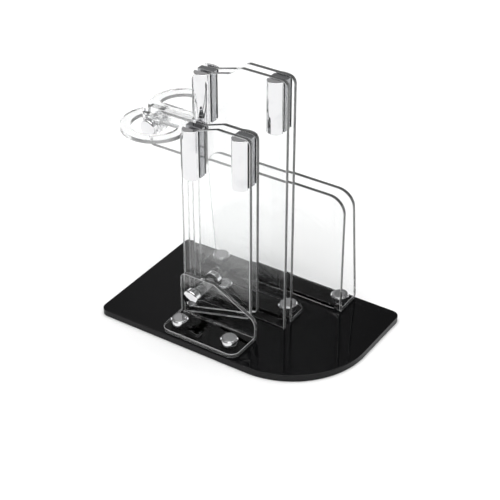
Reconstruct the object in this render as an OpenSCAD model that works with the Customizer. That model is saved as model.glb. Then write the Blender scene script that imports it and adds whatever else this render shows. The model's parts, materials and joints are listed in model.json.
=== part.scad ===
// Counter display stand: two clear uprights, a pair of tilting rings and a slot holder
// on one dark base plate.
// Millimetres, +Z up. The origin is the middle of the base plate's underside.
// +X runs along the long side, +Y from the front edge to the back edge.

/* [Base plate] */
// Length of the base along X
base_l = 180; // [170:1:220]
// Width of the base along Y
base_w = 110; // [108:1:140]
// Thickness of the base
base_t = 5; // [4.5:0.5:8]
// Radius of the big round corner at the front right
base_nose_r = 58; // [10:1:70]
// Radius of the other three corners
base_corner_r = 6; // [1:0.5:12]

/* [Clear sheet] */
// Thickness of every clear sheet
sheet_t = 3; // [2:0.1:3.6]
// Inner radius of every bend
bend_r = 1; // [0.5:0.25:2]
// Gap between the two sheets of an upright
pair_gap = 5; // [4.2:0.1:6]
// Corner radius of the feet that are screwed to the base
foot_corner_r = 6.5; // [1:0.5:8]

/* [Chrome heads] */
// Diameter of every chrome head
head_d = 12; // [9:0.1:14.4]
// Height of every chrome head
head_h = 5.5; // [5:0.25:8]
// Chamfer round the top of a head
head_chamfer = 0.8; // [0.3:0.1:1.5]
// Diameter of every screw shank and bolt
shank_d = 4; // [3:0.1:4.8]
// Depth of the blind hole in a chrome head
head_bore_h = 3.5; // [2:0.25:4]
// Depth of a screw's hole in the base
base_hole_h = 3.5; // [2:0.25:3.75]

/* [Front bracket] */
// Distance from the base's left edge to the bracket
bracket_x = 51; // [45:0.5:60]
// Width of the bracket
bracket_w = 61; // [58:0.5:75]
// Distance from the base's front edge to the bracket's foot
bracket_inset = 2; // [0.5:0.5:4]
// Depth of the bracket, from the foot's front edge to the leg's back face
bracket_d = 28; // [25:0.5:32]
// Height of the leg's level top above the base
bracket_h = 34; // [31:0.5:40]
// Length of the leg's level top
bracket_top_l = 28; // [24:0.5:34]
// Height of the leg at its right-hand end, before the corner is rounded
bracket_low_h = 16; // [12:0.5:22]
// Radius of the leg's top left corner
bracket_corner_r = 5; // [1:0.5:8]
// Radius of the leg's right-hand corner
bracket_end_r = 8; // [2:0.5:10]
// Distance from the bracket's left edge to its first screw
bracket_screw_inset = 9.5; // [8:0.5:12]
// Distance between the two screws of the bracket
bracket_screw_gap = 41; // [36:0.5:44]
// Distance from the foot's front edge to its screws
bracket_screw_y = 10; // [8:0.5:13]

/* [Small upright] */
// Distance from the bracket's left edge to the small upright
small_offset = 1; // [0:0.5:4]
// Width of the small upright
small_w = 54; // [48:0.5:62]
// Height of its level top above the base
small_h = 152; // [125:1:182]
// Length of the level part of the top
small_level_l = 25.4; // [14:0.2:30]
// Drop from the level top to the left edge
small_drop = 9.7; // [0:0.1:12]
// Radius of the top corners
small_corner_r = 4; // [1:0.5:6]
// Rise of the slanting bottom edge from left to right
small_rise = 14.4; // [12:0.2:20]
// Radius of the lower right corner
small_heel_r = 2.5; // [0.5:0.5:5]
// Space under the lowest corner
small_floor_gap = 0.4; // [0.3:0.1:1]

/* [Pivot] */
// Distance from the small upright's left edge to the pivot
pivot_inset = 10.7; // [9:0.1:14]
// Height of the pivot above the base
pivot_h = 19.2; // [18:0.1:25]
// Outer diameter of the clear sleeves on the pivot bolt
sleeve_d = 7; // [6:0.5:11]
// Length of the sleeve between the two uprights
sleeve_l = 7.4; // [6.8:0.1:10]
// Side play between parts that turn past each other
play = 0.3; // [0.3:0.05:0.6]
// Running clearance round a bolt, on the radius
run_clear = 0.06; // [0.03:0.01:0.1]

/* [Tall upright] */
// Distance from the base's left edge to the tall upright
tall_x = 49; // [48.5:0.5:60]
// Width of the tall upright
tall_w = 72.5; // [68:0.5:90]
// Height of its right-hand top above the base
tall_h = 189; // [160:1:230]
// Drop of the curved step in the top
tall_step = 6.6; // [0:0.1:12]
// Drop of the sloping top from the foot of the step to the left edge
tall_slope = 7.4; // [0:0.1:10]
// Distance from the left edge to the start of the step
tall_step_x = 27; // [18:0.5:30]
// Length over which the step curves
tall_step_l = 12.5; // [6:0.5:18]
// Radius of the top corners
tall_corner_r = 5; // [1:0.5:8]
// Depth of the rear sheet's foot
tall_foot_d = 21; // [20:0.5:24]
// Distance from the left edge to the first foot screw
tall_screw_inset = 13.5; // [9:0.5:18]
// Distance between the two foot screws
tall_screw_gap = 51; // [40:0.5:54]
// Distance from the rear sheet's front face to the foot screws
tall_screw_y = 11.5; // [11:0.5:14]

/* [Pads] */
// Width of every pad
pad_w = 12; // [10:0.5:13]
// Height of every pad
pad_h = 36; // [24:0.5:38]
// Depth of the round front pads
pad_front_d = 5.5; // [3:0.1:5.6]
// Depth of the shallow rear pads
pad_rear_d = 1.6; // [1:0.1:1.7]
// Distance from an upright's edge to the middle of its pads
pad_inset = 8.6; // [7:0.1:11]
// Distance from the small upright's right edge to the middle of its right-hand pads
small_right_inset = 7.2; // [7:0.1:11]
// Distance from the foot of the step down to the left-hand pads
tall_left_drop = 3.4; // [0:0.1:6]
// Distance from the tall upright's right-hand top down to its right-hand pads
tall_right_drop = 0.5; // [0:0.5:6]
// Distance from the small upright's level top down to its left-hand pads
small_left_drop = 4.8; // [3:0.1:8]
// Distance from the small upright's level top down to its right-hand pads
small_right_drop = 0.2; // [0:0.1:6]

/* [Rings] */
// Outer radius of each ring
ring_r = 23.5; // [20:0.5:28.2]
// Radius of the hole in each ring
ring_bore_r = 16.5; // [12:0.5:18]
// Distance from a ring's centre to its flat edge
ring_reach = 12.7; // [12:0.1:16]
// Width of the rim along the flat edge
ring_rim = 7.5; // [5:0.5:9]
// Space between the rings and the small upright
ring_side_gap = 2.5; // [2:0.1:5]
// Distance from the bar's top edge down to the top of the rings
ring_drop = 2; // [0:0.5:4]
// Width of the tab that hangs from each ring
tab_w = 14; // [12.5:0.5:16]

/* [Ring bar] */
// Height of the bar's top edge above the base
bar_top_h = 139.5; // [120:0.5:142]
// Height of the bar
bar_h = 29.5; // [22:0.5:40]
// Corner radius of the bar's free end
bar_corner_r = 4; // [1:0.5:4.5]
// Length of the bar that sits between the tall sheets
bar_grip = 9; // [6:0.5:20]
// Distance from the ring centres to the clamp bolt
clamp_offset = 10.6; // [8:0.1:13]
// Distance from the bar's free end to the clamp bolt
clamp_inset = 5.4; // [4.5:0.1:8]
// Space between a clamp head and the ring above it
clamp_gap = 0.8; // [0.5:0.1:2]

/* [Rear holder] */
// Distance from the base's left edge to the holder
holder_x = 29; // [15:0.5:32]
// Width of the holder
holder_w = 115; // [90:0.5:130]
// Depth of the holder's foot across both legs
holder_d = 23; // [22:0.5:24]
// Distance from the base's back edge to the holder
holder_inset = 0.5; // [0.5:0.5:1.5]
// Height of the front leg above the base
holder_h = 92; // [60:1:120]
// Forward lean of the rear leg, in degrees
holder_lean = 5.5; // [0:0.5:6]
// Radius of the legs' top corners
holder_corner_r = 12; // [2:0.5:16]
// Distance from the holder's left edge to its first screw
holder_screw_inset = 12; // [8:0.5:20]
// Distance between the holder's two screws
holder_screw_gap = 97; // [60:1:98]
// Distance from the holder's front face to its screws
holder_screw_y = 11; // [10.5:0.5:12]

/* [Hidden] */
$fn = 96;
STEP_POINTS = 16;
ARC_POINTS = 12;
// How far a cutting shape reaches past the face that it cuts.
OVER = 1;

base_top = base_t;
head_r = head_d / 2;
hole_r = shank_d / 2 + run_clear;
bend_out = bend_r + sheet_t;
// A shank or bolt stops this far from the floor of its blind hole.
end_gap = 0.2;

// The layout in Y is one chain, from the bracket's foot to the tall upright's rear sheet.
leg_back = bracket_inset + bracket_d;
leg_front = leg_back - sheet_t;
small_front = leg_back + play;
small_rear = small_front + sheet_t + pair_gap;
small_back = small_rear + sheet_t;
tall_front = small_back + play + sleeve_l;
tall_gap_y = tall_front + sheet_t;
tall_rear = tall_gap_y + pair_gap;
tall_back = tall_rear + sheet_t;
holder_back = base_w - holder_inset;
holder_front = holder_back - holder_d;

// Points that several pieces share.
small_x = bracket_x + small_offset;
pivot_x = small_x + pivot_inset;
pivot_z = base_top + pivot_h;
bar_top = base_top + bar_top_h;
ring_top = bar_top - ring_drop;
ring_bottom = ring_top - sheet_t;
ring_x = small_x - ring_side_gap - ring_r;
clamp_x = ring_x - clamp_offset;
clamp_z = ring_bottom - clamp_gap - head_r;
bar_x = clamp_x - clamp_inset;
// The faces of the rings' tabs that look at the bar.
front_tab_y = tall_gap_y - play;
rear_tab_y = tall_rear + play;
// The end cap of the pivot bolt fits in the tall upright's gap.
cap_h = pair_gap - play;
cap_bore_h = cap_h - 2;

// [x of the middle, z of the top] of the left-hand and right-hand pads of an upright.
tall_pads = [
    [tall_x + pad_inset, base_top + tall_h - tall_step - tall_left_drop],
    [tall_x + tall_w - pad_inset, base_top + tall_h - tall_right_drop],
];
small_pads = [
    [small_x + pad_inset, base_top + small_h - small_left_drop],
    [small_x + small_w - small_right_inset, base_top + small_h - small_right_drop],
];

// [x, y] of the two screws of each foot.
function screw_pair(x, gap, y) = [[x, y], [x + gap, y]];
bracket_screws = screw_pair(
    bracket_x + bracket_screw_inset, bracket_screw_gap, bracket_inset + bracket_screw_y
);
tall_screws = screw_pair(tall_x + tall_screw_inset, tall_screw_gap, tall_rear + tall_screw_y);
holder_screws = screw_pair(
    holder_x + holder_screw_inset, holder_screw_gap, holder_front + holder_screw_y
);

CLEAR = [0.85, 0.9, 0.92, 0.4];
CHROME = [0.78, 0.79, 0.8];
BLACK = [0.05, 0.05, 0.06];

// ---------------------------------------------------------------- outlines

function unit(v) = v / norm(v);

// Points on an arc about c, from angle a0 to a1.
function arc(c, r, a0, a1) = [
    for (i = [0:ARC_POINTS])
        c + r * [cos(a0 + (a1 - a0) * i / ARC_POINTS), sin(a0 + (a1 - a0) * i / ARC_POINTS)],
];

// A corner at p, between its neighbours a and b, as the points of an arc of radius r.
// The corners run anticlockwise.
function round_corner(a, p, b, r) =
    let (
        to_a = unit(a - p),
        to_b = unit(b - p),
        turn = 180 - acos(to_a * to_b),
        middle = p + unit(to_a + to_b) * r / cos(turn / 2),
        start = atan2(to_a[0], -to_a[1])
    )
    arc(middle, r, start, start + turn);

// An outline with a radius at each of its corners, where 0 leaves it sharp.
module rounded_outline(points, radii) {
    n = len(points);
    polygon([
        for (i = [0:n - 1])
            each radii[i] > 0
                ? round_corner(points[(i + n - 1) % n], points[i], points[(i + 1) % n], radii[i])
                : [points[i]],
    ]);
}

// What is cut off a square corner at p to round it. turn is 0 at the lower left corner.
module corner_cut(p, r, turn) {
    translate(p)
        rotate(turn)
            difference() {
                translate([-OVER, -OVER]) square(r + OVER);
                translate([r, r]) circle(r = r);
            }
}

// A rectangle with a radius at each corner, from the lower left corner anticlockwise.
module round_plate(w, h, radii) {
    corners = [[0, 0], [w, 0], [w, h], [0, h]];
    difference() {
        square([w, h]);
        for (i = [0:3])
            if (radii[i] > 0)
                corner_cut(corners[i], radii[i], 90 * i);
    }
}

// Stands an outline up in the XZ plane, from y to y + t.
module upright(y, t) {
    translate([0, y + t, 0]) rotate([90, 0, 0]) linear_extrude(t) children();
}

// Puts a part, drawn from the base's front left corner, round the part's origin.
module from_corner() {
    translate([-base_l / 2, -base_w / 2, 0]) children();
}

// A round bar along Y, from y0 to y1.
module bar_y(x, z, r, y0, y1) {
    translate([x, y1, z]) rotate([90, 0, 0]) cylinder(r = r, h = y1 - y0);
}

// A bolt's hole along Y through everything from y0 to y1.
module bolt_hole(x, z, y0, y1) {
    bar_y(x, z, hole_r, y0 - OVER, y1 + OVER);
}

// The screw holes through a foot.
module foot_holes(points) {
    for (p = points)
        translate([p[0], p[1], base_top - OVER]) cylinder(r = hole_r, h = sheet_t + 2 * OVER);
}

// The bend of a sheet along X: a sector from angle a0 to a1, from +Y towards +Z.
module bend(x, w, y_mid, z_mid, a0, a1) {
    far = 2 * bend_out;
    translate([x, y_mid, z_mid])
        rotate([90, 0, 90])
            linear_extrude(w)
                intersection() {
                    difference() {
                        circle(r = bend_out);
                        circle(r = bend_r);
                    }
                    polygon([
                        [0, 0],
                        for (a = [a0, (a0 + a1) / 2, a1])
                            far * [cos(a), sin(a)],
                    ]);
                }
}

// ---------------------------------------------------------------- chrome pieces

// A round head that stands on z = 0, with a chamfer round its top.
module head(h) {
    rotate_extrude()
        polygon([
            [0, 0], [head_r, 0], [head_r, h - head_chamfer], [head_r - head_chamfer, h], [0, h],
        ]);
}

// A pair of thumbscrews, whose shanks go through a foot into the base.
module thumbscrews(points) {
    shank_l = base_hole_h - end_gap;
    color(CHROME)
        from_corner()
            for (p = points) {
                translate([p[0], p[1], base_top - shank_l]) cylinder(d = shank_d, h = shank_l + sheet_t);
                translate([p[0], p[1], base_top + sheet_t]) head(head_h);
            }
}

// A head on the end of a bolt along Y. dir is 1 where it stands towards +Y.
module bolt_head(x, z, y_seat, dir, h, bore_h) {
    color(CHROME)
        from_corner()
            translate([x, y_seat, z])
                rotate([-90 * dir, 0, 0])
                    difference() {
                        head(h);
                        translate([0, 0, -OVER]) cylinder(r = hole_r, h = bore_h + OVER);
                    }
}

// A plain bolt along Y.
module bolt(x, z, y0, y1) {
    color(CHROME) from_corner() bar_y(x, z, shank_d / 2, y0, y1);
}

// A clear sleeve on the pivot bolt.
module sleeve(y0, y1) {
    color(CLEAR)
        from_corner()
            difference() {
                bar_y(pivot_x, pivot_z, sleeve_d / 2, y0, y1);
                bolt_hole(pivot_x, pivot_z, y0, y1);
            }
}

// ---------------------------------------------------------------- pads

// A pad of depth d, against the face at y. dir is 1 where it stands towards +Y.
module pad(p, y, d, dir) {
    r = (pow(pad_w / 2, 2) + pow(d, 2)) / (2 * d);
    far = pad_w + r;
    color(CHROME)
        from_corner()
            intersection() {
                translate([p[0], y + dir * (d - r), p[1] - pad_h]) cylinder(r = r, h = pad_h);
                translate([p[0] - pad_w / 2, dir > 0 ? y : y - far, p[1] - pad_h - OVER])
                    cube([pad_w, far, pad_h + 2 * OVER]);
            }
}

// The bar between the two sheets of an upright, behind the face at y.
module spacer(p, y) {
    color(CHROME)
        from_corner()
            translate([p[0] - pad_w / 2, y, p[1] - pad_h]) cube([pad_w, pair_gap, pad_h]);
}

// ---------------------------------------------------------------- base and bracket

module base_plate() {
    small = base_corner_r;
    color(BLACK)
        from_corner()
            difference() {
                linear_extrude(base_t) round_plate(base_l, base_w, [small, base_nose_r, small, small]);
                for (p = concat(bracket_screws, tall_screws, holder_screws))
                    translate([p[0], p[1], base_top - base_hole_h])
                        cylinder(r = hole_r, h = base_hole_h + OVER);
            }
}

module front_bracket() {
    foot_l = bracket_d - bend_out;
    color(CLEAR)
        from_corner()
            difference() {
                union() {
                    translate([bracket_x, bracket_inset, base_top])
                        linear_extrude(sheet_t)
                            round_plate(bracket_w, foot_l, [foot_corner_r, foot_corner_r, 0, 0]);
                    bend(bracket_x, bracket_w, leg_back - bend_out, base_top + bend_out, 270, 360);
                    translate([bracket_x, 0, base_top])
                        upright(leg_front, sheet_t)
                            rounded_outline(
                                [
                                    [0, bend_out], [bracket_w, bend_out], [bracket_w, bracket_low_h],
                                    [bracket_top_l, bracket_h], [0, bracket_h],
                                ],
                                [0, 0, bracket_end_r, 0, bracket_corner_r]
                            );
                }
                foot_holes(bracket_screws);
                bolt_hole(pivot_x, pivot_z, leg_front, leg_back);
            }
}

// ---------------------------------------------------------------- tall upright

// Height of the tall upright's top above its left-hand shoulder, along the step.
function step_rise(t) = tall_step * (1 - cos(180 * t)) / 2;

// The tall upright's outline, from height z0 above the base.
module tall_outline(z0) {
    shoulder = tall_h - tall_step;
    step = [
        for (i = [STEP_POINTS:-1:0])
            [tall_step_x + tall_step_l * i / STEP_POINTS, shoulder + step_rise(i / STEP_POINTS)],
    ];
    rounded_outline(
        concat([[0, z0], [tall_w, z0], [tall_w, tall_h]], step, [[0, shoulder - tall_slope]]),
        concat([0, 0, tall_corner_r], [for (p = step) 0], [tall_corner_r])
    );
}

module tall_front_sheet() {
    color(CLEAR)
        from_corner()
            difference() {
                translate([tall_x, 0, base_top]) upright(tall_front, sheet_t) tall_outline(0);
                bolt_hole(pivot_x, pivot_z, tall_front, tall_gap_y);
            }
}

module tall_rear_sheet() {
    color(CLEAR)
        from_corner()
            difference() {
                union() {
                    translate([tall_x, 0, base_top]) upright(tall_rear, sheet_t) tall_outline(bend_out);
                    bend(tall_x, tall_w, tall_rear + bend_out, base_top + bend_out, 180, 270);
                    translate([tall_x, tall_rear + bend_out, base_top])
                        linear_extrude(sheet_t)
                            round_plate(
                                tall_w, tall_foot_d - bend_out, [0, 0, foot_corner_r, foot_corner_r]
                            );
                }
                foot_holes(tall_screws);
            }
}

// ---------------------------------------------------------------- small upright

// One sheet of the small upright, with its front face at y.
module small_sheet(y) {
    h = small_h - small_floor_gap;
    color(CLEAR)
        from_corner()
            difference() {
                translate([small_x, 0, base_top + small_floor_gap])
                    upright(y, sheet_t)
                        rounded_outline(
                            [
                                [0, 0], [small_w, small_rise], [small_w, h],
                                [small_w - small_level_l, h], [0, h - small_drop],
                            ],
                            [0, small_heel_r, small_corner_r, 0, small_corner_r]
                        );
                bolt_hole(pivot_x, pivot_z, y, y + sheet_t);
            }
}

module small_front_sheet() {
    small_sheet(small_front);
}

module small_rear_sheet() {
    small_sheet(small_rear);
}

// ---------------------------------------------------------------- rear holder

// The channel's cross-section in the YZ plane. Its legs run past their height, to be cut off.
function holder_section() =
    let (
        front_mid = [holder_front + bend_out, base_top + bend_out],
        rear_mid = [holder_back - bend_out, base_top + bend_out],
        up = holder_h * [-sin(holder_lean), cos(holder_lean)],
        across = [cos(holder_lean), sin(holder_lean)]
    )
    concat(
        [[holder_front, base_top + holder_h + OVER]],
        arc(front_mid, bend_out, 180, 270),
        arc(rear_mid, bend_out, 270, 360 + holder_lean),
        [rear_mid + bend_out * across + up, rear_mid + bend_r * across + up],
        arc(rear_mid, bend_r, 360 + holder_lean, 270),
        arc(front_mid, bend_r, 270, 180),
        [[holder_front + sheet_t, base_top + holder_h + OVER]]
    );

module holder_channel() {
    color(CLEAR)
        from_corner()
            difference() {
                intersection() {
                    translate([holder_x, 0, 0])
                        rotate([90, 0, 90]) linear_extrude(holder_w) polygon(holder_section());
                    translate([holder_x, 0, base_top])
                        upright(holder_front - OVER, holder_d + 2 * OVER)
                            round_plate(holder_w, holder_h, [0, 0, holder_corner_r, holder_corner_r]);
                }
                foot_holes(holder_screws);
            }
}

// ---------------------------------------------------------------- rings

module ring_bar() {
    color(CLEAR)
        from_corner()
            difference() {
                translate([bar_x, 0, bar_top - bar_h])
                    upright(tall_gap_y, pair_gap)
                        round_plate(
                            tall_x + bar_grip - bar_x, bar_h, [bar_corner_r, 0, 0, bar_corner_r]
                        );
                bolt_hole(clamp_x, clamp_z, tall_gap_y, tall_rear);
            }
}

// A flat strip from distance d0 to d1 in front of a ring's flat edge.
module strip(x, w, d0, d1, dir) {
    translate([x, dir > 0 ? d0 : -d1]) square([w, d1 - d0]);
}

// The flat ring round its hole, with its flat edge on y = 0. dir is 1 where it lies towards +Y.
module ring_outline(dir) {
    x0 = ring_x - ring_r - OVER;
    w = 2 * (ring_r + OVER);
    far = ring_reach + ring_r + OVER;
    difference() {
        intersection() {
            translate([ring_x, dir * ring_reach]) circle(r = ring_r);
            strip(x0, w, 0, far, dir);
        }
        intersection() {
            translate([ring_x, dir * ring_reach]) circle(r = ring_bore_r);
            strip(x0, w, ring_rim, far, dir);
        }
        strip(clamp_x - tab_w / 2, tab_w, -OVER, bend_out, dir);
    }
}

// A ring with the tab that is bent down from its flat edge, which is at y.
module ring(y, dir) {
    tab_y = dir > 0 ? y : y - sheet_t;
    tab_x = clamp_x - tab_w / 2;
    a0 = dir > 0 ? 90 : 0;
    color(CLEAR)
        from_corner()
            difference() {
                union() {
                    translate([0, y, ring_bottom]) linear_extrude(sheet_t) ring_outline(dir);
                    bend(tab_x, tab_w, y + dir * bend_out, ring_top - bend_out, a0, a0 + 90);
                    translate([tab_x, tab_y, clamp_z])
                        cube([tab_w, sheet_t, ring_top - bend_out - clamp_z]);
                    bar_y(clamp_x, clamp_z, tab_w / 2, tab_y, tab_y + sheet_t);
                }
                bolt_hole(clamp_x, clamp_z, tab_y, tab_y + sheet_t);
            }
}

module front_ring() {
    ring(front_tab_y, -1);
}

module rear_ring() {
    ring(rear_tab_y, 1);
}

// ---------------------------------------------------------------- the other nodes

module bracket_thumbscrews() {
    thumbscrews(bracket_screws);
}

module upright_thumbscrews() {
    thumbscrews(tall_screws);
}

module holder_thumbscrews() {
    thumbscrews(holder_screws);
}

// Each pair of pads has a front pad, a spacer and a rear pad.
module tall_left_front_pad() {
    pad(tall_pads[0], tall_front, pad_front_d, -1);
}

module tall_left_spacer() {
    spacer(tall_pads[0], tall_gap_y);
}

module tall_left_rear_pad() {
    pad(tall_pads[0], tall_back, pad_rear_d, 1);
}

module tall_right_front_pad() {
    pad(tall_pads[1], tall_front, pad_front_d, -1);
}

module tall_right_spacer() {
    spacer(tall_pads[1], tall_gap_y);
}

module tall_right_rear_pad() {
    pad(tall_pads[1], tall_back, pad_rear_d, 1);
}

module small_left_front_pad() {
    pad(small_pads[0], small_front, pad_front_d, -1);
}

module small_left_spacer() {
    spacer(small_pads[0], small_front + sheet_t);
}

module small_left_rear_pad() {
    pad(small_pads[0], small_back, pad_rear_d, 1);
}

module small_right_front_pad() {
    pad(small_pads[1], small_front, pad_front_d, -1);
}

module small_right_spacer() {
    spacer(small_pads[1], small_front + sheet_t);
}

module small_right_rear_pad() {
    pad(small_pads[1], small_back, pad_rear_d, 1);
}

module pivot_knob() {
    bolt_head(pivot_x, pivot_z, leg_front - play, -1, head_h, head_bore_h);
}

module pivot_rod() {
    bolt(
        pivot_x, pivot_z,
        leg_front - play - head_bore_h + end_gap, tall_gap_y + cap_bore_h - end_gap
    );
}

module pivot_inner_sleeve() {
    sleeve(small_front + sheet_t, small_rear);
}

module pivot_outer_sleeve() {
    sleeve(tall_front - sleeve_l, tall_front);
}

module pivot_end_cap() {
    bolt_head(pivot_x, pivot_z, tall_gap_y, 1, cap_h, cap_bore_h);
}

module ring_clamp_knob() {
    bolt_head(clamp_x, clamp_z, front_tab_y - sheet_t - play, -1, head_h, head_bore_h);
}

module ring_clamp_rod() {
    reach = sheet_t + play + head_bore_h - end_gap;
    bolt(clamp_x, clamp_z, front_tab_y - reach, rear_tab_y + reach);
}

module ring_clamp_end_cap() {
    bolt_head(clamp_x, clamp_z, rear_tab_y + sheet_t + play, 1, head_h, head_bore_h);
}

// ---------------------------------------------------------------- what is drawn

base_plate();
front_bracket();
bracket_thumbscrews();
tall_front_sheet();
tall_rear_sheet();
upright_thumbscrews();
tall_left_front_pad();
tall_left_spacer();
tall_left_rear_pad();
tall_right_front_pad();
tall_right_spacer();
tall_right_rear_pad();
small_front_sheet();
small_rear_sheet();
small_left_front_pad();
small_left_spacer();
small_left_rear_pad();
small_right_front_pad();
small_right_spacer();
small_right_rear_pad();
pivot_knob();
pivot_rod();
pivot_inner_sleeve();
pivot_outer_sleeve();
pivot_end_cap();
ring_bar();
front_ring();
rear_ring();
ring_clamp_knob();
ring_clamp_rod();
ring_clamp_end_cap();
holder_channel();
holder_thumbscrews();
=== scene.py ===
"""Looks of the counter display stand: gloss black base, clear cut sheet and polished chrome fittings.

Everything is in metres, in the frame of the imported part.
"""

import json
import logging
import math
from dataclasses import dataclass, field
from enum import Enum
from typing import Any, Callable, Sequence, Union

import bmesh
import bpy
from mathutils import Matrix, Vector
from mathutils.bvhtree import BVHTree


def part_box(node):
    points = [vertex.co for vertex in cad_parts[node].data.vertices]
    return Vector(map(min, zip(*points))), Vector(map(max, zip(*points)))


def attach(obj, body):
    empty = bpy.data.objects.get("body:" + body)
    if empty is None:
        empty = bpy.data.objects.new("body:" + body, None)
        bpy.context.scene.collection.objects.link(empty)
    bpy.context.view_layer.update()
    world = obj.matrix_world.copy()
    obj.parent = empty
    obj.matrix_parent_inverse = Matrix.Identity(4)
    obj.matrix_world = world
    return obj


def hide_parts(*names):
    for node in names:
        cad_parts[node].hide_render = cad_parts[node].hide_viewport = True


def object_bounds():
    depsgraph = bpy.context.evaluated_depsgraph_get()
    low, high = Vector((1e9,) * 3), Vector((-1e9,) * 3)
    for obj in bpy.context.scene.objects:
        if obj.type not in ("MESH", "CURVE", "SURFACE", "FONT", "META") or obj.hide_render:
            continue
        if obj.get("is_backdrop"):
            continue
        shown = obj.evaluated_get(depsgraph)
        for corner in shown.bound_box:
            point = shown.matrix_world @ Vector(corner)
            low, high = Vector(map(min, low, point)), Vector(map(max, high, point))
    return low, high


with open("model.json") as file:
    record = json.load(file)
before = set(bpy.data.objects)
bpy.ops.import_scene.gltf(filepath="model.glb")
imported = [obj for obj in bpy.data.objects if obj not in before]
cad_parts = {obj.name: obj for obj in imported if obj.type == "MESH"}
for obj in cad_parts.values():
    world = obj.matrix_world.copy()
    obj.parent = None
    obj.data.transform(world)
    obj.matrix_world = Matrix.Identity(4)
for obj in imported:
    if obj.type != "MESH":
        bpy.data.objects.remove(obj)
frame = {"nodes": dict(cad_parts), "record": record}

log = logging.getLogger("display_stand")

MM = 0.001
BODY_OF: dict[str, str] = {
    node: body
    for body, nodes in frame["record"]["behaviour"]["bodies"].items()
    for node in nodes
}


class Slot(Enum):
    """The part's material slots."""

    BLACK = "black_acrylic"
    CLEAR = "clear_acrylic"
    CHROME = "chrome_fittings"


# ------------------------------------------------------------------ node trees


Number = Union[float, "Link"]


@dataclass(frozen=True)
class Link:
    """An output socket that can be used in sums."""

    tree: "NodeTree"
    socket: bpy.types.NodeSocket

    def __add__(self, other: Number) -> "Link":
        """Returns self + other."""
        return self.tree.maths("ADD", self, other)

    def __radd__(self, other: Number) -> "Link":
        """Returns other + self."""
        return self.tree.maths("ADD", other, self)

    def __sub__(self, other: Number) -> "Link":
        """Returns self - other."""
        return self.tree.maths("SUBTRACT", self, other)

    def __rsub__(self, other: Number) -> "Link":
        """Returns other - self."""
        return self.tree.maths("SUBTRACT", other, self)

    def __mul__(self, other: Number) -> "Link":
        """Returns self * other."""
        return self.tree.maths("MULTIPLY", self, other)

    def __rmul__(self, other: Number) -> "Link":
        """Returns other * self."""
        return self.tree.maths("MULTIPLY", other, self)

    def __truediv__(self, other: Number) -> "Link":
        """Returns self / other."""
        return self.tree.maths("DIVIDE", self, other)

    def __rtruediv__(self, other: Number) -> "Link":
        """Returns other / self."""
        return self.tree.maths("DIVIDE", other, self)

    def __pow__(self, other: Number) -> "Link":
        """Returns self to the power other."""
        return self.tree.maths("POWER", self, other)

    def over(self, other: Number) -> "Link":
        """Returns 1 where self is greater than other, and 0 elsewhere."""
        return self.tree.maths("GREATER_THAN", self, other)

    def between(self, low: float, high: float) -> "Link":
        """Returns self as a smooth step from 0 at low to 1 at high."""
        step = self.tree.node("ShaderNodeMapRange", {"interpolation_type": "SMOOTHSTEP"})
        step.inputs["From Min"].default_value = low
        step.inputs["From Max"].default_value = high
        self.tree.feed(step.inputs["Value"], self)
        return Link(self.tree, step.outputs["Result"])


class NodeTree:
    """A shader tree that is being built."""

    def __init__(self, tree: bpy.types.NodeTree) -> None:
        """Empties the tree.

        Args:
            tree: The tree of a material or a world.
        """
        self.tree = tree
        tree.nodes.clear()

    def node(self, kind: str, settings: dict[str, Any] | None = None) -> bpy.types.Node:
        """Makes any node.

        Args:
            kind: The node's type name.
            settings: Values for the node's own properties.

        Returns:
            The new node.
        """
        made = self.tree.nodes.new(kind)
        for name, value in (settings or {}).items():
            setattr(made, name, value)
        return made

    def feed(self, socket: bpy.types.NodeSocket, value: Any) -> None:
        """Links a Link to a socket, or writes a plain value on it.

        Args:
            socket: The input socket.
            value: A Link or a value.
        """
        if isinstance(value, Link):
            self.tree.links.new(value.socket, socket)
        else:
            socket.default_value = value

    def maths(self, operation: str, a: Number, b: Number) -> Link:
        """Returns the result of one sum.

        Args:
            operation: The Math node's operation.
            a: The first value.
            b: The second value.

        Returns:
            The result.
        """
        made = self.node("ShaderNodeMath", {"operation": operation})
        self.feed(made.inputs[0], a)
        self.feed(made.inputs[1], b)
        return Link(self, made.outputs[0])

    def mix(self, share: Number, a: Any, b: Any) -> Link:
        """Mixes two colours.

        Args:
            share: How much of b there is.
            a: A colour or a Link.
            b: A colour or a Link.

        Returns:
            The mixed colour.
        """
        made = self.node("ShaderNodeMix", {"data_type": "RGBA"})
        self.feed(made.inputs[0], share)
        self.feed(made.inputs[6], a)
        self.feed(made.inputs[7], b)
        return Link(self, made.outputs[2])

    def place(self) -> Link:
        """Returns the object coordinates."""
        return Link(self, self.node("ShaderNodeTexCoord").outputs["Object"])

    def stretched(self, place: Link, scale: Sequence[float]) -> Link:
        """Returns coordinates with their own scale along each axis."""
        made = self.node("ShaderNodeMapping")
        self.feed(made.inputs["Vector"], place)
        made.inputs["Scale"].default_value = scale
        return Link(self, made.outputs["Vector"])

    def noise(self, place: Link, scale: float, detail: float = 3.0) -> Link:
        """Returns a noise value.

        Args:
            place: The coordinates.
            scale: Lumps per metre.
            detail: Octaves.

        Returns:
            A value from about 0 to 1.
        """
        made = self.node("ShaderNodeTexNoise")
        self.feed(made.inputs["Vector"], place)
        made.inputs["Scale"].default_value = scale
        made.inputs["Detail"].default_value = detail
        return Link(self, made.outputs[0])

    def bump(self, height: Link, strength: float, distance: float) -> Link:
        """Returns a normal that follows a height."""
        made = self.node("ShaderNodeBump")
        self.feed(made.inputs["Height"], height)
        made.inputs["Strength"].default_value = strength
        made.inputs["Distance"].default_value = distance
        return Link(self, made.outputs["Normal"])

    def split(self, vector: Link) -> tuple[Link, Link, Link]:
        """Returns a vector's three components."""
        made = self.node("ShaderNodeSeparateXYZ")
        self.feed(made.inputs[0], vector)
        return tuple(Link(self, out) for out in made.outputs)


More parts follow.
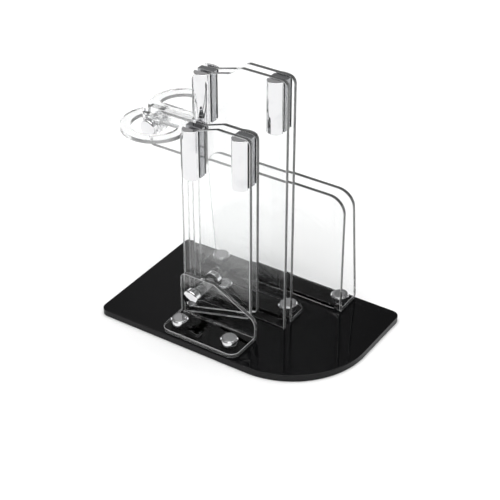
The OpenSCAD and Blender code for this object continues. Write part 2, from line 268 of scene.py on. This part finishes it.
# ------------------------------------------------------------------ finishes


@dataclass(frozen=True)
class Finish:
    """What every finish has in common."""

    name: str

    def surface(self, tree: NodeTree) -> dict[str, Any]:
        """Returns the shader inputs of the finish, each a value or a Link."""
        raise NotImplementedError

    def material(self) -> bpy.types.Material:
        """Builds the material once.

        Returns:
            The material.
        """
        found = bpy.data.materials.get(self.name)
        if found is not None:
            return found
        made = bpy.data.materials.new(self.name)
        made.use_nodes = True
        tree = NodeTree(made.node_tree)
        out = tree.node("ShaderNodeOutputMaterial")
        shader = tree.node("ShaderNodeBsdfPrincipled")
        tree.feed(out.inputs["Surface"], Link(tree, shader.outputs[0]))
        for socket, value in self.surface(tree).items():
            tree.feed(shader.inputs[socket], value)
        return made


@dataclass(frozen=True)
class BlackAcrylic(Finish):
    """Gloss black sheet with faint haze, dust and rubbing marks."""

    name: str = "gloss black acrylic"
    colour: tuple[float, float, float, float] = (0.0025, 0.0025, 0.003, 1.0)
    dust: tuple[float, float, float, float] = (0.012, 0.012, 0.013, 1.0)
    roughness: float = 0.035
    haze: float = 0.06

    def surface(self, tree: NodeTree) -> dict[str, Any]:
        """Returns the shader inputs."""
        place = tree.place()
        clouds = tree.noise(place, 26.0, 4.0)
        specks = tree.noise(place, 1500.0, 2.0).between(0.72, 0.8)
        rubbed = tree.noise(tree.stretched(place, (40.0, 420.0, 200.0)), 1.0, 5.0)
        polish = self.roughness + clouds.between(0.45, 0.8) * self.haze + specks * 0.2
        return {
            "Base Color": tree.mix(specks * 0.5 + rubbed * 0.15, self.colour, self.dust),
            "Roughness": polish + rubbed * 0.01,
            "IOR": 1.3,
            "Normal": tree.bump(clouds, 0.03, 0.4 * MM),
        }


@dataclass(frozen=True)
class ClearFace(Finish):
    """The polished face of a clear sheet."""

    name: str = "clear acrylic face"
    tint: tuple[float, float, float, float] = (0.994, 0.997, 0.997, 1.0)
    roughness: float = 0.004
    smear: float = 0.03

    def surface(self, tree: NodeTree) -> dict[str, Any]:
        """Returns the shader inputs."""
        place = tree.place()
        smears = tree.noise(place, 45.0, 4.0).between(0.55, 0.85)
        waves = tree.noise(place, 18.0, 1.0)
        return {
            "Base Color": self.tint,
            "Roughness": self.roughness + smears * self.smear,
            "Transmission Weight": 1.0,
            "IOR": 1.45,
            "Normal": tree.bump(waves, 0.02, 0.2 * MM),
        }


@dataclass(frozen=True)
class CutEdge(Finish):
    """The cut edge of a clear sheet, which gathers light; the same finish, in grey, also paints shade lines
    on the arrises and a pale painted reflection on the sleeves.
    """

    name: str = "clear acrylic cut edge"
    light: tuple[float, float, float, float] = (0.97, 0.975, 0.975, 1.0)
    dark: tuple[float, float, float, float] = (0.88, 0.89, 0.895, 1.0)
    roughness: float = 0.05
    grain: float = 0.1
    clarity: float = 0.88

    def surface(self, tree: NodeTree) -> dict[str, Any]:
        """Returns the shader inputs."""
        place = tree.place()
        lines = tree.noise(place, 900.0, 3.0)
        drift = tree.noise(place, 30.0, 2.0)
        return {
            "Base Color": tree.mix(drift.between(0.35, 0.7), self.light, self.dark),
            "Roughness": self.roughness + lines * self.grain,
            "Transmission Weight": self.clarity,
            "IOR": 1.45,
            "Normal": tree.bump(lines, 0.12, 0.05 * MM),
        }


@dataclass(frozen=True)
class Chrome(Finish):
    """Polished chrome plate over a turned or extruded blank."""

    name: str = "polished chrome"
    bright: tuple[float, float, float, float] = (0.8, 0.8, 0.81, 1.0)
    dull: tuple[float, float, float, float] = (0.64, 0.645, 0.66, 1.0)
    roughness: float = 0.035
    wear: float = 0.08

    def surface(self, tree: NodeTree) -> dict[str, Any]:
        """Returns the shader inputs."""
        place = tree.place()
        clouds = tree.noise(place, 90.0, 4.0)
        drawn = tree.noise(tree.stretched(place, (900.0, 900.0, 60.0)), 1.0, 3.0)
        worn = clouds.between(0.5, 0.8)
        return {
            "Base Color": tree.mix(worn * 0.5, self.bright, self.dull),
            "Roughness": self.roughness + worn * self.wear + drawn * 0.02,
            "Metallic": 1.0,
            "Normal": tree.bump(drawn, 0.03, 0.05 * MM),
        }


# ------------------------------------------------------------------ geometry trees


class Recipe:
    """A Geometry Nodes tree with named inputs, run once to make a plain mesh."""

    def __init__(self, name: str) -> None:
        """Starts an empty tree.

        Args:
            name: The tree's name.
        """
        self.tree = bpy.data.node_groups.new(name, "GeometryNodeTree")
        self.tree.interface.new_socket(
            name="Geometry", in_out="OUTPUT", socket_type="NodeSocketGeometry"
        )
        self.names: dict[str, str] = {}
        self.entry: bpy.types.Node | None = None

    def ask(self, **kinds: str) -> None:
        """Adds the tree's named inputs.

        Args:
            **kinds: Each input's name and its socket type, such as Float.
        """
        for name, kind in kinds.items():
            made = self.tree.interface.new_socket(
                name=name, in_out="INPUT", socket_type=f"NodeSocket{kind}"
            )
            self.names[name] = made.identifier
        self.entry = self.tree.nodes.new("NodeGroupInput")

    def given(self, name: str) -> bpy.types.NodeSocket:
        """Returns the socket that carries a named input."""
        return self.entry.outputs[name]

    def node(self, kind: str, settings: dict[str, Any] | None = None, **inputs: Any) -> bpy.types.Node:
        """Makes any node and feeds its inputs.

        Args:
            kind: The node's type name.
            settings: Values for the node's own properties.
            **inputs: A socket or a value for each input, with _ for a space in its name.

        Returns:
            The new node.
        """
        made = self.tree.nodes.new(kind)
        for name, value in (settings or {}).items():
            setattr(made, name, value)
        for name, value in inputs.items():
            socket = made.inputs[name.replace("_", " ")]
            if isinstance(value, bpy.types.NodeSocket):
                self.tree.links.new(value, socket)
            else:
                socket.default_value = value
        return made

    def close(self, geometry: bpy.types.NodeSocket, material: bpy.types.NodeSocket) -> None:
        """Ends the tree in Realize Instances and Set Material.

        Args:
            geometry: The finished geometry.
            material: The material to set on it.
        """
        real = self.node("GeometryNodeRealizeInstances", Geometry=geometry)
        dressed = self.node("GeometryNodeSetMaterial", Geometry=real.outputs[0], Material=material)
        out = self.tree.nodes.new("NodeGroupOutput")
        self.tree.links.new(dressed.outputs[0], out.inputs[0])

    def run(self, name: str, values: dict[str, Any]) -> bpy.types.Object:
        """Runs the tree and keeps its result as a plain mesh.

        Args:
            name: The new object's name.
            values: A value for each named input.

        Returns:
            The new object, at the origin.
        """
        seed = bpy.data.objects.new(name, bpy.data.meshes.new(f"{name} seed"))
        bpy.context.scene.collection.objects.link(seed)
        modifier = seed.modifiers.new("recipe", "NODES")
        modifier.node_group = self.tree
        for given, value in values.items():
            modifier[self.names[given]] = value
        graph = bpy.context.evaluated_depsgraph_get()
        graph.update()
        made = bpy.data.meshes.new_from_object(seed.evaluated_get(graph), depsgraph=graph)
        seed.modifiers.remove(modifier)
        seed.data = made
        made.name = name
        return seed


def screw_row_recipe() -> Recipe:
    """Returns a recipe that repeats one screw along a row."""
    recipe = Recipe("screw row")
    recipe.ask(Screw="Object", First="Vector", Step="Vector", Count="Int", Finish="Material")
    line = recipe.node(
        "GeometryNodeMeshLine",
        {"mode": "OFFSET"},
        Count=recipe.given("Count"),
        Start_Location=recipe.given("First"),
        Offset=recipe.given("Step"),
    )
    screw = recipe.node("GeometryNodeObjectInfo", Object=recipe.given("Screw"))
    placed = recipe.node(
        "GeometryNodeInstanceOnPoints",
        Points=line.outputs["Mesh"],
        Instance=screw.outputs["Geometry"],
    )
    recipe.close(placed.outputs[0], recipe.given("Finish"))
    return recipe


def plate_recipe() -> Recipe:
    """Returns a recipe for a plate with one big round corner, standing on z = 0."""
    recipe = Recipe("corner plate")
    recipe.ask(
        Length="Float", Width="Float", Thickness="Float",
        Nose="Float", Corner="Float", Finish="Material",
    )
    outline = recipe.node(
        "GeometryNodeCurvePrimitiveQuadrilateral",
        Width=recipe.given("Length"),
        Height=recipe.given("Width"),
    )
    nose_corner = 3
    is_nose = recipe.node(
        "FunctionNodeCompare",
        {"data_type": "INT", "operation": "EQUAL"},
    )
    index = recipe.node("GeometryNodeInputIndex")
    recipe.tree.links.new(index.outputs[0], is_nose.inputs[2])
    is_nose.inputs[3].default_value = nose_corner
    radius = recipe.node(
        "GeometryNodeSwitch",
        {"input_type": "FLOAT"},
        Switch=is_nose.outputs[0],
        **{"False": recipe.given("Corner"), "True": recipe.given("Nose")},
    )
    rounded = recipe.node(
        "GeometryNodeFilletCurve",
        {"mode": "POLY"},
        Curve=outline.outputs[0],
        Count=40,
        Radius=radius.outputs[0],
    )
    sheet = recipe.node("GeometryNodeFillCurve", {"mode": "NGONS"}, Curve=rounded.outputs[0])
    raised = recipe.node(
        "GeometryNodeExtrudeMesh",
        {"mode": "FACES"},
        Mesh=sheet.outputs[0],
        Offset_Scale=recipe.given("Thickness"),
        Individual=False,
    )
    under = recipe.node("GeometryNodeFlipFaces", Mesh=sheet.outputs[0])
    joined = recipe.node("GeometryNodeJoinGeometry")
    recipe.tree.links.new(raised.outputs["Mesh"], joined.inputs[0])
    recipe.tree.links.new(under.outputs[0], joined.inputs[0])
    whole = recipe.node("GeometryNodeMergeByDistance", Geometry=joined.outputs[0], Distance=1e-6)
    recipe.close(whole.outputs[0], recipe.given("Finish"))
    return recipe


# ------------------------------------------------------------------ making meshes


def link_mesh(name: str, mesh: bpy.types.Mesh) -> bpy.types.Object:
    """Returns a new object at the origin that shows a mesh."""
    made = bpy.data.objects.new(name, mesh)
    bpy.context.scene.collection.objects.link(made)
    return made


def add_bevel(piece: bpy.types.Object, width: float, segments: int, material: int = -1) -> None:
    """Breaks a piece's sharp edges and smooths its round faces.

    Args:
        piece: The piece.
        width: Width of the bevel.
        segments: Number of its steps.
        material: The slot that the bevel's faces take, or -1 for their neighbours' own.
    """
    crease = math.radians(32)
    for face in piece.data.polygons:
        face.use_smooth = True
    piece.data.set_sharp_from_angle(angle=crease)
    bevel = piece.modifiers.new("broken edges", "BEVEL")
    bevel.width = width
    bevel.segments = segments
    bevel.limit_method = "ANGLE"
    bevel.angle_limit = crease
    bevel.harden_normals = True
    bevel.use_clamp_overlap = True
    bevel.material = material


def merged_copy(node: str) -> bmesh.types.BMesh:
    """Returns a CAD node's mesh, merged, with its flat faces whole.

    Args:
        node: The CAD node.

    Returns:
        The mesh, which the caller frees.
    """
    made = bmesh.new()
    made.from_mesh(frame["nodes"][node].data)
    bmesh.ops.remove_doubles(made, verts=made.verts, dist=1e-6)
    bmesh.ops.dissolve_limit(
        made, angle_limit=math.radians(0.2), verts=made.verts, edges=made.edges
    )
    return made


def points_on_faces(work: bmesh.types.BMesh) -> dict[bmesh.types.BMFace, Vector]:
    """Finds a point well inside each face, even where the face goes round a hole.

    Args:
        work: The mesh.

    Returns:
        The middle of each face's largest triangle.
    """
    largest: dict[bmesh.types.BMFace, tuple[float, Vector]] = {}
    for loops in work.calc_loop_triangles():
        a, b, c = (loop.vert.co for loop in loops)
        area = (b - a).cross(c - a).length
        one = loops[0].face
        if one not in largest or area > largest[one][0]:
            largest[one] = (area, (a + b + c) / 3)
    return {one: middle for one, (_, middle) in largest.items()}


def turned(name: str, profile: Sequence[tuple[float, float]], steps: int = 64) -> bpy.types.Mesh:
    """Turns a profile about Z into a closed mesh.

    Args:
        name: The mesh's name.
        profile: Points as (radius, height), from the axis at the bottom to the axis at the top.
        steps: Number of faces round.

    Returns:
        The mesh.
    """
    made = bmesh.new()
    rings: list[list[bmesh.types.BMVert]] = []
    for radius, height in profile:
        if radius <= 0:
            rings.append([made.verts.new((0.0, 0.0, height))])
            continue
        turn = 2 * math.pi / steps
        rings.append([
            made.verts.new((radius * math.cos(turn * i), radius * math.sin(turn * i), height))
            for i in range(steps)
        ])
    for low, high in zip(rings, rings[1:]):
        for i in range(steps):
            after = (i + 1) % steps
            corners = [low[i % len(low)], low[after % len(low)], high[after % len(high)], high[i % len(high)]]
            made.faces.new(list(dict.fromkeys(corners)))
    bmesh.ops.recalc_face_normals(made, faces=made.faces)
    mesh = bpy.data.meshes.new(name)
    made.to_mesh(mesh)
    made.free()
    return mesh


def settle(piece: bpy.types.Object, node: str) -> bpy.types.Object:
    """Makes a piece stand for a CAD node and ride on its body.

    Args:
        piece: The finished piece.
        node: The CAD node that it replaces.

    Returns:
        The piece.
    """
    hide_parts(node)
    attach(piece, BODY_OF[node])
    log.info("%s rides on %s", piece.name, BODY_OF[node])
    return piece


@dataclass(frozen=True)
class SheetShop:
    """Finishes pieces that are cut from clear sheet."""

    face: Finish = ClearFace()
    edge: CutEdge = CutEdge()
    # Nearly opaque grey on the bevel faces: painted shade lines drawn along the edges of the clear sheets.
    arris_painted_shade: CutEdge = CutEdge(
        name="clear acrylic arris",
        light=(0.84, 0.845, 0.85, 1.0),
        dark=(0.72, 0.73, 0.735, 1.0),
        roughness=0.2,
        clarity=0.15,
    )
    break_width: float = 0.3 * MM
    break_steps: int = 2
    edge_depth: float = 1.6

    def finish(self, node: str, thickness: float) -> bpy.types.Object:
        """Copies a CAD node, with one finish on its faces, another on its cut edges, and grey painted shade
        lines on its bevelled arrises.

        Args:
            node: The CAD node.
            thickness: Thickness of its sheet.

        Returns:
            The piece.
        """
        work = merged_copy(node)
        tree = BVHTree.FromBMesh(work)
        for one, inner in points_on_faces(work).items():
            hit = tree.ray_cast(inner - one.normal * 0.01 * MM, -one.normal)
            deep = hit[3] is None or hit[3] > self.edge_depth * thickness
            one.material_index = 1 if deep else 0
        mesh = bpy.data.meshes.new(f"{node}_sheet")
        work.to_mesh(mesh)
        work.free()
        piece = link_mesh(f"{node}_sheet", mesh)
        mesh.materials.append(self.face.material())
        mesh.materials.append(self.edge.material())
        mesh.materials.append(self.arris_painted_shade.material())
        # Slot 2, the grey painted edge shade, goes on the bevel faces.
        add_bevel(piece, self.break_width, self.break_steps, 2)
        return settle(piece, node)


@dataclass(frozen=True)
class ChromeShop:
    """Finishes chrome pieces."""

    chrome: Chrome = Chrome()
    # The darker plate is painted shade: it darkens the spacers that sit between the pads.
    dark: Chrome = Chrome(
        name="smoked chrome", bright=(0.34, 0.345, 0.355, 1.0), dull=(0.2, 0.2, 0.21, 1.0)
    )
    break_width: float = 0.35 * MM
    break_steps: int = 3

    def finish(self, node: str, painted_shade: bool = False) -> bpy.types.Object:
        """Copies a CAD node, with its sharp edges broken.

        Args:
            node: The CAD node.
            painted_shade: True for the darker plate, which is painted shade between the pads.

        Returns:
            The piece.
        """
        work = merged_copy(node)
        mesh = bpy.data.meshes.new(f"{node}_plated")
        work.to_mesh(mesh)
        work.free()
        mesh.materials.append((self.dark if painted_shade else self.chrome).material())
        piece = link_mesh(f"{node}_plated", mesh)
        add_bevel(piece, self.break_width, self.break_steps)
        return settle(piece, node)


# ------------------------------------------------------------------ sub-assemblies


@dataclass
class BasePlate:
    """The gloss black base plate."""

    nose: float = 58 * MM
    corner: float = 6 * MM
    break_width: float = 0.5 * MM
    finish: BlackAcrylic = field(default_factory=BlackAcrylic)

    def build(self) -> bpy.types.Object:
        """Builds the plate and dresses it.

        Returns:
            The plate.
        """
        low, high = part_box("base_plate")
        size = high - low
        plate = plate_recipe().run(
            "base_plate_gloss",
            {
                "Length": size.x, "Width": size.y, "Thickness": size.z,
                "Nose": self.nose, "Corner": self.corner, "Finish": self.finish.material(),
            },
        )
        add_bevel(plate, self.break_width, 3)
        return settle(plate, "base_plate")


@dataclass
class Thumbscrews:
    """The six thumbscrews that hold the feet on the base."""

    nodes: tuple[str, ...] = (
        "bracket_thumbscrews", "upright_thumbscrews", "holder_thumbscrews",
    )
    head_height: float = 5.5 * MM
    chamfer: float = 0.8 * MM
    shank: float = 2.0 * MM
    dish: float = 0.12 * MM
    finish: Chrome = field(default_factory=Chrome)

    def profile(self, radius: float, seat: float) -> list[tuple[float, float]]:
        """Returns a screw's profile, from the tip of its shank to the middle of its head.

        Args:
            radius: Radius of the head.
            seat: Height of the head's seat above the tip.

        Returns:
            The profile's points.
        """
        top = seat + self.head_height
        soft = 0.15 * MM
        return [
            (0.0, 0.0),
            (self.shank, 0.0),
            (self.shank, seat),
            (radius - soft, seat),
            (radius, seat + soft),
            (radius, top - self.chamfer - soft),
            (radius - 0.3 * soft, top - self.chamfer),
            (radius - self.chamfer, top - 0.3 * soft),
            (radius - self.chamfer - soft, top),
            (radius * 0.55, top - 0.3 * self.dish),
            (0.0, top - self.dish),
        ]

    def build(self) -> None:
        """Builds each pair from one screw."""
        recipe = screw_row_recipe()
        for node in self.nodes:
            low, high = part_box(node)
            radius = (high.y - low.y) / 2
            seat = high.z - low.z - self.head_height
            pattern = link_mesh("screw pattern", turned("screw", self.profile(radius, seat)))
            pair = recipe.run(
                f"{node}_turned",
                {
                    "Screw": pattern,
                    "First": (low.x + radius, low.y + radius, low.z),
                    "Step": (high.x - low.x - 2 * radius, 0.0, 0.0),
                    "Count": 2,
                    "Finish": self.finish.material(),
                },
            )
            bpy.data.objects.remove(pattern)
            for one in pair.data.polygons:
                one.use_smooth = True
            pair.data.set_sharp_from_angle(angle=math.radians(24))
            settle(pair, node)


@dataclass
class FrontBracket:
    """The bent bracket at the front and the bolt that the small upright tilts on."""

    thickness: float = 3 * MM
    shop: SheetShop = field(default_factory=SheetShop)
    # The sleeves are pale milky grey instead of clear: a painted reflection that stands in for the bright
    # look of clear acrylic sleeves.
    tube_painted_reflection: SheetShop = field(
        default_factory=lambda: SheetShop(
            face=CutEdge(
                name="clear acrylic tube",
                light=(0.9, 0.905, 0.91, 1.0),
                dark=(0.8, 0.81, 0.815, 1.0),
                roughness=0.06,
                clarity=0.6,
            )
        )
    )
    plating: ChromeShop = field(default_factory=ChromeShop)

    def build(self) -> None:
        """Builds the bracket, the bolt, its heads and its sleeves."""
        self.shop.finish("front_bracket", self.thickness)
        # The sleeves take the pale finish, which is painted reflection.
        for node in ("pivot_inner_sleeve", "pivot_outer_sleeve"):
            self.tube_painted_reflection.finish(node, self.thickness)
        for node in ("pivot_knob", "pivot_rod", "pivot_end_cap"):
            self.plating.finish(node)


@dataclass
class Upright:
    """A pair of clear sheets with a stack of pads at each top corner."""

    name: str
    thickness: float = 3 * MM
    shop: SheetShop = field(default_factory=SheetShop)
    plating: ChromeShop = field(default_factory=ChromeShop)

    def build(self) -> None:
        """Builds the sheets and the pads."""
        for side in ("front", "rear"):
            self.shop.finish(f"{self.name}_{side}_sheet", self.thickness)
        for side in ("left", "right"):
            self.plating.finish(f"{self.name}_{side}_front_pad")
            # Each spacer takes the darker plate, painted shade between the front and rear pads.
            self.plating.finish(f"{self.name}_{side}_spacer", painted_shade=True)
            self.plating.finish(f"{self.name}_{side}_rear_pad")


@dataclass
class Rings:
    """The bar, the two rings and the bolt that clamps them."""

    thickness: float = 3 * MM
    bar_thickness: float = 5 * MM
    shop: SheetShop = field(default_factory=SheetShop)
    plating: ChromeShop = field(default_factory=ChromeShop)

    def build(self) -> None:
        """Builds the bar, the rings and the clamp."""
        self.shop.finish("ring_bar", self.bar_thickness)
        for node in ("front_ring", "rear_ring"):
            self.shop.finish(node, self.thickness)
        for node in ("ring_clamp_knob", "ring_clamp_rod", "ring_clamp_end_cap"):
            self.plating.finish(node)


@dataclass
class Holder:
    """The bent channel at the back."""

    thickness: float = 3 * MM
    shop: SheetShop = field(default_factory=SheetShop)

    def build(self) -> None:
        """Builds the channel."""
        self.shop.finish("holder_channel", self.thickness)


# ------------------------------------------------------------------ studio


@dataclass
class Studio:
    """The pale floor, the soft surrounding light and the camera."""

    floor_size: float = 14.0
    floor_tone: float = 0.9
    low_light: float = 1.2
    band_light: float = 0.3
    top_light: float = 3.9
    camera_at: tuple[float, float, float] = (0.43453, -0.66410, 0.58303)
    looks_along: tuple[float, float, float] = (-0.4561, 0.6971, -0.5533)
    lens: float = 100.8

    def floor(self) -> None:
        """Lays the floor under the base."""
        half = self.floor_size / 2
        made = bmesh.new()
        corners = [made.verts.new((x * half, y * half, 0.0)) for x, y in ((-1, -1), (1, -1), (1, 1), (-1, 1))]
        made.faces.new(corners)
        mesh = bpy.data.meshes.new("floor")
        made.to_mesh(mesh)
        made.free()
        floor = link_mesh("floor", mesh)
        floor.location.z = -0.05 * MM
        paint = bpy.data.materials.new("pale floor")
        paint.use_nodes = True
        shader = paint.node_tree.nodes["Principled BSDF"]
        shader.inputs["Base Color"].default_value = (self.floor_tone,) * 3 + (1.0,)
        shader.inputs["Roughness"].default_value = 0.9
        shader.inputs["Specular IOR Level"].default_value = 0.0
        mesh.materials.append(paint)
        floor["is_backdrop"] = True

    def light(self) -> None:
        """Surrounds the stand with soft light: pale at the horizon, dark above it, bright overhead."""
        world = bpy.data.worlds.new("studio")
        world.use_nodes = True
        bpy.context.scene.world = world
        tree = NodeTree(world.node_tree)
        out = tree.node("ShaderNodeOutputWorld")
        glow = tree.node("ShaderNodeBackground")
        tree.feed(out.inputs["Surface"], Link(tree, glow.outputs[0]))
        around = Link(tree, tree.node("ShaderNodeTexCoord").outputs["Generated"])
        x, y, z = tree.split(around)
        turn = tree.maths("ARCTAN2", y, x)
        panels = (0.5 + 0.5 * tree.maths("SINE", turn * 9.0 + 0.7, 0.0)) ** 3.0
        band = self.band_light * (0.5 + panels)
        low = 1.0 - z.between(0.12, 0.3)
        high = z.between(0.74, 0.9)
        level = low * self.low_light + high * self.top_light + band
        path = tree.node("ShaderNodeLightPath")
        bounced = Link(tree, path.outputs["Glossy Depth"]) + Link(tree, path.outputs["Diffuse Depth"])
        seen = 1.0 - bounced.over(0.5)
        tree.feed(glow.inputs["Strength"], seen * 1.0 + (1.0 - seen) * level)

    def camera(self) -> None:
        """Stands the camera in its place."""
        data = bpy.data.cameras.new("camera")
        data.lens = self.lens
        data.sensor_width = 36.0
        data.clip_start = 0.01
        data.clip_end = 100.0
        made = bpy.data.objects.new("camera", data)
        bpy.context.scene.collection.objects.link(made)
        made.location = self.camera_at
        made.rotation_mode = "QUATERNION"
        made.rotation_quaternion = Vector(self.looks_along).to_track_quat("-Z", "Y")
        bpy.context.scene.camera = made

    def build(self) -> None:
        """Builds the studio."""
        self.floor()
        self.light()
        self.camera()
        scene = bpy.context.scene
        scene.view_settings.view_transform = "Standard"
        scene.cycles.max_bounces = 24
        scene.cycles.transmission_bounces = 24
        scene.cycles.glossy_bounces = 8
        scene.cycles.transparent_max_bounces = 32


def corners() -> list[list[float]]:
    """Returns the shown object's lowest and highest corners as plain lists."""
    return [list(corner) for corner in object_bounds()]


def main() -> None:
    """Builds the stand in order."""
    logging.basicConfig(level=logging.INFO, format="%(name)s: %(message)s")
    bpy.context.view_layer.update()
    works: list[tuple[str, Callable[[], Any]]] = [
        ("base plate", BasePlate().build),
        ("thumbscrews", Thumbscrews().build),
        ("front bracket", FrontBracket().build),
        ("tall upright", Upright("tall").build),
        ("small upright", Upright("small").build),
        ("rings", Rings().build),
        ("rear holder", Holder().build),
        ("studio", Studio().build),
    ]
    for name, build in works:
        build()
        log.info("built the %s", name)


if __name__ == "__main__":
    main()
